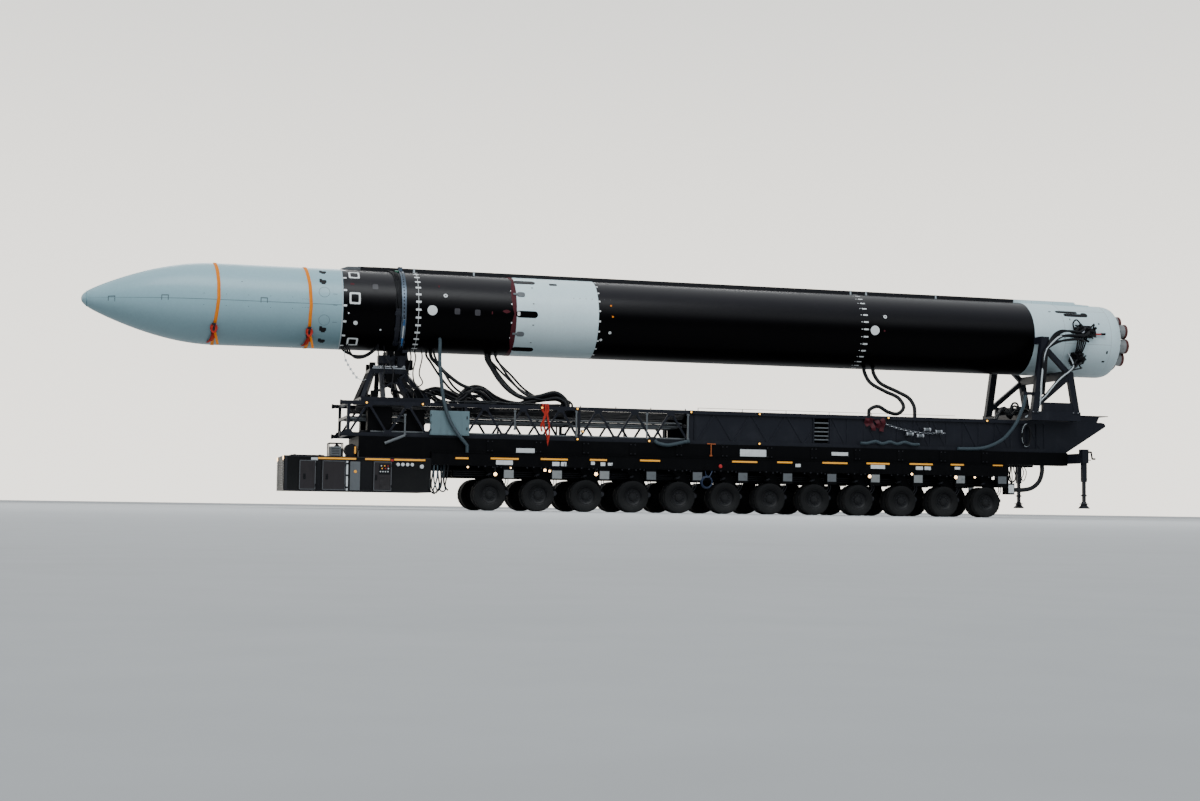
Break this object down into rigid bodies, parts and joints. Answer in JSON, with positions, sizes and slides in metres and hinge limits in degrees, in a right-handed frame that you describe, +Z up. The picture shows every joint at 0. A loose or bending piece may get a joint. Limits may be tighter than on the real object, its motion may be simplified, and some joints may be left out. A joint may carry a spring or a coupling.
{
  "type": "space rocket on a transporter",
  "caption": "Slim space rocket with a rounded fairing, lying on a lattice transport frame that a low self-propelled wheeled transporter with a power pack carries.",
  "frame": {"origin": "on the ground under the middle of the overall length, on the middle plane", "axes": "+X towards the rocket's nose, +Y to the side with the service doors, +Z up"},
  "size_m": [27.84, 3.8, 6.055],
  "materials": {
    "rocket_white": "satin paint",
    "rocket_black": "satin carbon composite",
    "strap_orange": "woven webbing",
    "clamp_steel": "machined",
    "nozzle_metal": "heat-tinted",
    "frame_grey": "satin paint",
    "bed_black": "satin paint",
    "cabinet_grey": "satin paint",
    "engine_iron": "matt",
    "door_grey": "satin paint",
    "hose_grey": "ribbed",
    "hose_black": "ribbed",
    "tyre_rubber": "dusty"
  },
  "bodies": {
    "vehicle": {"fairing_upper": "rocket_white", "fairing_lower": "rocket_white", "interstage": "rocket_white", "engine_bay": "rocket_white", "second_stage": "rocket_black", "first_stage_tank": "rocket_black", "cable_duct": "rocket_black", "fairing_strap_front": "strap_orange", "fairing_strap_rear": "strap_orange", "clamp_ring": "clamp_steel", "engine_cluster": "nozzle_metal", "front_cradle": "frame_grey", "lattice_girder": "frame_grey", "clad_girder": "frame_grey", "tail_wedge": "frame_grey", "rear_cradle": "frame_grey", "rear_beam": "frame_grey", "load_frame": "bed_black", "bed_front": "bed_black", "bed_rear": "bed_black", "power_pack": "bed_black", "control_cabinet": "cabinet_grey", "engine_block": "engine_iron", "hose_tank_drain": "hose_grey", "hose_cradle": "hose_grey", "hose_forward": "hose_black", "hose_middle_a": "hose_black", "hose_middle_b": "hose_black", "hose_tank_a": "hose_black", "hose_tank_b": "hose_black", "hose_tail": "hose_black"},
    "wheel_left_1": {"wheel_left_1": "tyre_rubber"},
    "wheel_right_1": {"wheel_right_1": "tyre_rubber"},
    "wheel_left_2": {"wheel_left_2": "tyre_rubber"},
    "wheel_right_2": {"wheel_right_2": "tyre_rubber"},
    "wheel_left_3": {"wheel_left_3": "tyre_rubber"},
    "wheel_right_3": {"wheel_right_3": "tyre_rubber"},
    "wheel_left_4": {"wheel_left_4": "tyre_rubber"},
    "wheel_right_4": {"wheel_right_4": "tyre_rubber"},
    "wheel_left_5": {"wheel_left_5": "tyre_rubber"},
    "wheel_right_5": {"wheel_right_5": "tyre_rubber"},
    "wheel_left_6": {"wheel_left_6": "tyre_rubber"},
    "wheel_right_6": {"wheel_right_6": "tyre_rubber"},
    "wheel_left_7": {"wheel_left_7": "tyre_rubber"},
    "wheel_right_7": {"wheel_right_7": "tyre_rubber"},
    "wheel_left_8": {"wheel_left_8": "tyre_rubber"},
    "wheel_right_8": {"wheel_right_8": "tyre_rubber"},
    "wheel_left_9": {"wheel_left_9": "tyre_rubber"},
    "wheel_right_9": {"wheel_right_9": "tyre_rubber"},
    "wheel_left_10": {"wheel_left_10": "tyre_rubber"},
    "wheel_right_10": {"wheel_right_10": "tyre_rubber"},
    "wheel_left_11": {"wheel_left_11": "tyre_rubber"},
    "wheel_right_11": {"wheel_right_11": "tyre_rubber"},
    "wheel_left_12": {"wheel_left_12": "tyre_rubber"},
    "wheel_right_12": {"wheel_right_12": "tyre_rubber"},
    "jack_leg_left": {"jack_leg_left": "frame_grey"},
    "jack_leg_right": {"jack_leg_right": "frame_grey"},
    "service_door_front": {"service_door_front": "door_grey"},
    "service_door_middle": {"service_door_middle": "door_grey"},
    "service_door_control": {"service_door_control": "door_grey"}
  },
  "joints": [
    {"name": "wheel_left_1_roll", "type": "hinge", "parent": "vehicle", "child": "wheel_left_1", "pos_m": [4.12, 0.935, 0.4], "axis": [0, 1, 0], "continuous": true},
    {"name": "wheel_right_1_roll", "type": "hinge", "parent": "vehicle", "child": "wheel_right_1", "pos_m": [4.12, -0.935, 0.4], "axis": [0, 1, 0], "continuous": true},
    {"name": "wheel_left_2_roll", "type": "hinge", "parent": "vehicle", "child": "wheel_left_2", "pos_m": [2.8995, 0.935, 0.4], "axis": [0, 1, 0], "continuous": true},
    {"name": "wheel_right_2_roll", "type": "hinge", "parent": "vehicle", "child": "wheel_right_2", "pos_m": [2.8995, -0.935, 0.4], "axis": [0, 1, 0], "continuous": true},
    {"name": "wheel_left_3_roll", "type": "hinge", "parent": "vehicle", "child": "wheel_left_3", "pos_m": [1.679, 0.935, 0.4], "axis": [0, 1, 0], "continuous": true},
    {"name": "wheel_right_3_roll", "type": "hinge", "parent": "vehicle", "child": "wheel_right_3", "pos_m": [1.679, -0.935, 0.4], "axis": [0, 1, 0], "continuous": true},
    {"name": "wheel_left_4_roll", "type": "hinge", "parent": "vehicle", "child": "wheel_left_4", "pos_m": [0.4585, 0.935, 0.4], "axis": [0, 1, 0], "continuous": true},
    {"name": "wheel_right_4_roll", "type": "hinge", "parent": "vehicle", "child": "wheel_right_4", "pos_m": [0.4585, -0.935, 0.4], "axis": [0, 1, 0], "continuous": true},
    {"name": "wheel_left_5_roll", "type": "hinge", "parent": "vehicle", "child": "wheel_left_5", "pos_m": [-0.762, 0.935, 0.4], "axis": [0, 1, 0], "continuous": true},
    {"name": "wheel_right_5_roll", "type": "hinge", "parent": "vehicle", "child": "wheel_right_5", "pos_m": [-0.762, -0.935, 0.4], "axis": [0, 1, 0], "continuous": true},
    {"name": "wheel_left_6_roll", "type": "hinge", "parent": "vehicle", "child": "wheel_left_6", "pos_m": [-1.9825, 0.935, 0.4], "axis": [0, 1, 0], "continuous": true},
    {"name": "wheel_right_6_roll", "type": "hinge", "parent": "vehicle", "child": "wheel_right_6", "pos_m": [-1.9825, -0.935, 0.4], "axis": [0, 1, 0], "continuous": true},
    {"name": "wheel_left_7_roll", "type": "hinge", "parent": "vehicle", "child": "wheel_left_7", "pos_m": [-3.203, 0.935, 0.4], "axis": [0, 1, 0], "continuous": true},
    {"name": "wheel_right_7_roll", "type": "hinge", "parent": "vehicle", "child": "wheel_right_7", "pos_m": [-3.203, -0.935, 0.4], "axis": [0, 1, 0], "continuous": true},
    {"name": "wheel_left_8_roll", "type": "hinge", "parent": "vehicle", "child": "wheel_left_8", "pos_m": [-4.4235, 0.935, 0.4], "axis": [0, 1, 0], "continuous": true},
    {"name": "wheel_right_8_roll", "type": "hinge", "parent": "vehicle", "child": "wheel_right_8", "pos_m": [-4.4235, -0.935, 0.4], "axis": [0, 1, 0], "continuous": true},
    {"name": "wheel_left_9_roll", "type": "hinge", "parent": "vehicle", "child": "wheel_left_9", "pos_m": [-5.644, 0.935, 0.4], "axis": [0, 1, 0], "continuous": true},
    {"name": "wheel_right_9_roll", "type": "hinge", "parent": "vehicle", "child": "wheel_right_9", "pos_m": [-5.644, -0.935, 0.4], "axis": [0, 1, 0], "continuous": true},
    {"name": "wheel_left_10_roll", "type": "hinge", "parent": "vehicle", "child": "wheel_left_10", "pos_m": [-6.8645, 0.935, 0.4], "axis": [0, 1, 0], "continuous": true},
    {"name": "wheel_right_10_roll", "type": "hinge", "parent": "vehicle", "child": "wheel_right_10", "pos_m": [-6.8645, -0.935, 0.4], "axis": [0, 1, 0], "continuous": true},
    {"name": "wheel_left_11_roll", "type": "hinge", "parent": "vehicle", "child": "wheel_left_11", "pos_m": [-8.085, 0.935, 0.4], "axis": [0, 1, 0], "continuous": true},
    {"name": "wheel_right_11_roll", "type": "hinge", "parent": "vehicle", "child": "wheel_right_11", "pos_m": [-8.085, -0.935, 0.4], "axis": [0, 1, 0], "continuous": true},
    {"name": "wheel_left_12_roll", "type": "hinge", "parent": "vehicle", "child": "wheel_left_12", "pos_m": [-9.3055, 0.935, 0.4], "axis": [0, 1, 0], "continuous": true},
    {"name": "wheel_right_12_roll", "type": "hinge", "parent": "vehicle", "child": "wheel_right_12", "pos_m": [-9.3055, -0.935, 0.4], "axis": [0, 1, 0], "continuous": true},
    {"name": "jack_leg_left_slide", "type": "slide", "parent": "vehicle", "child": "jack_leg_left", "axis": [0, 0, 1], "range_m": [-0.26, 0.3]},
    {"name": "jack_leg_right_slide", "type": "slide", "parent": "vehicle", "child": "jack_leg_right", "axis": [0, 0, 1], "range_m": [-0.26, 0.3]},
    {"name": "service_door_front_hinge", "type": "hinge", "parent": "vehicle", "child": "service_door_front", "pos_m": [8.36, 1.2105, 0.8], "axis": [0, 0, 1], "range_deg": [0, 110]},
    {"name": "service_door_middle_hinge", "type": "hinge", "parent": "vehicle", "child": "service_door_middle", "pos_m": [7.65, 1.2105, 0.8], "axis": [0, 0, 1], "range_deg": [0, 110]},
    {"name": "service_door_control_hinge", "type": "hinge", "parent": "vehicle", "child": "service_door_control", "pos_m": [6.54, 1.2105, 0.8], "axis": [0, 0, 1], "range_deg": [0, 110]}
  ]
}
